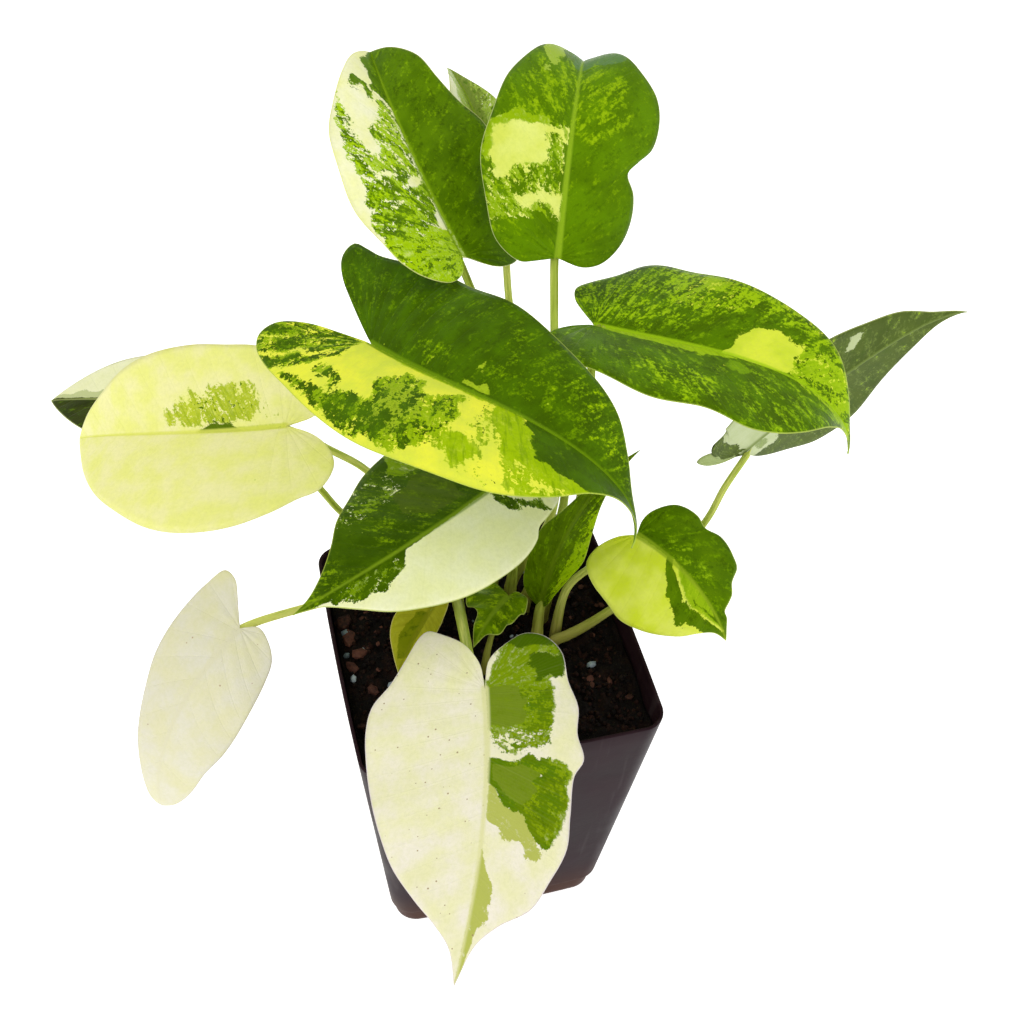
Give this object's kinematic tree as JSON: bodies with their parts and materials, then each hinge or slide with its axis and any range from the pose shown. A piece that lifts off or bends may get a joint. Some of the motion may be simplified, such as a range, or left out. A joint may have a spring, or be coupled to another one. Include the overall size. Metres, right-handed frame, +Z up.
{
  "type": "potted variegated philodendron",
  "caption": "Young aroid house plant with heart-shaped leaves marbled green and cream on arching stalks, standing in a tapered square plastic nursery pot full of bark soil.",
  "frame": {"origin": "centre of the pot's underside, on the surface that the pot stands on", "axes": "+Z is up out of the pot, and -Y is the side of the pot that the large front leaf hangs over"},
  "size_m": [0.2997, 0.2561, 0.2718],
  "materials": {
    "pot_plastic": "thin dark brown-black plastic with a soft sheen",
    "potting_mix": "near-black moist peat with reddish bark chips and white perlite",
    "leaf_green": "smooth waxy leaf, mostly green with lime and cream marbling",
    "leaf_cream": "smooth waxy leaf, mostly cream or pale yellow with green patches",
    "petiole": "smooth pale green to olive stalk"
  },
  "bodies": {
    "root": {"pot": "pot_plastic", "soil": "potting_mix", "leaf_centre": "leaf_green", "petiole_centre": "petiole", "leaf_right": "leaf_green", "petiole_right": "petiole", "leaf_back_left": "leaf_green", "petiole_back_left": "petiole", "leaf_back_right": "leaf_green", "petiole_back_right": "petiole", "leaf_back_middle": "leaf_cream", "petiole_back_middle": "petiole", "leaf_left": "leaf_cream", "petiole_left": "petiole", "leaf_far_left": "leaf_cream", "petiole_far_left": "petiole", "leaf_inner_left": "leaf_green", "petiole_inner_left": "petiole", "leaf_lower_left": "leaf_cream", "petiole_lower_left": "petiole", "leaf_front": "leaf_cream", "petiole_front": "petiole", "leaf_lower_right": "leaf_green", "petiole_lower_right": "petiole", "leaf_far_right": "leaf_green", "petiole_far_right": "petiole", "leaf_young": "leaf_green", "petiole_young": "petiole", "leaf_crinkled": "leaf_green", "petiole_crinkled": "petiole", "leaf_olive": "leaf_green", "petiole_olive": "petiole"}
  },
  "joints": []
}
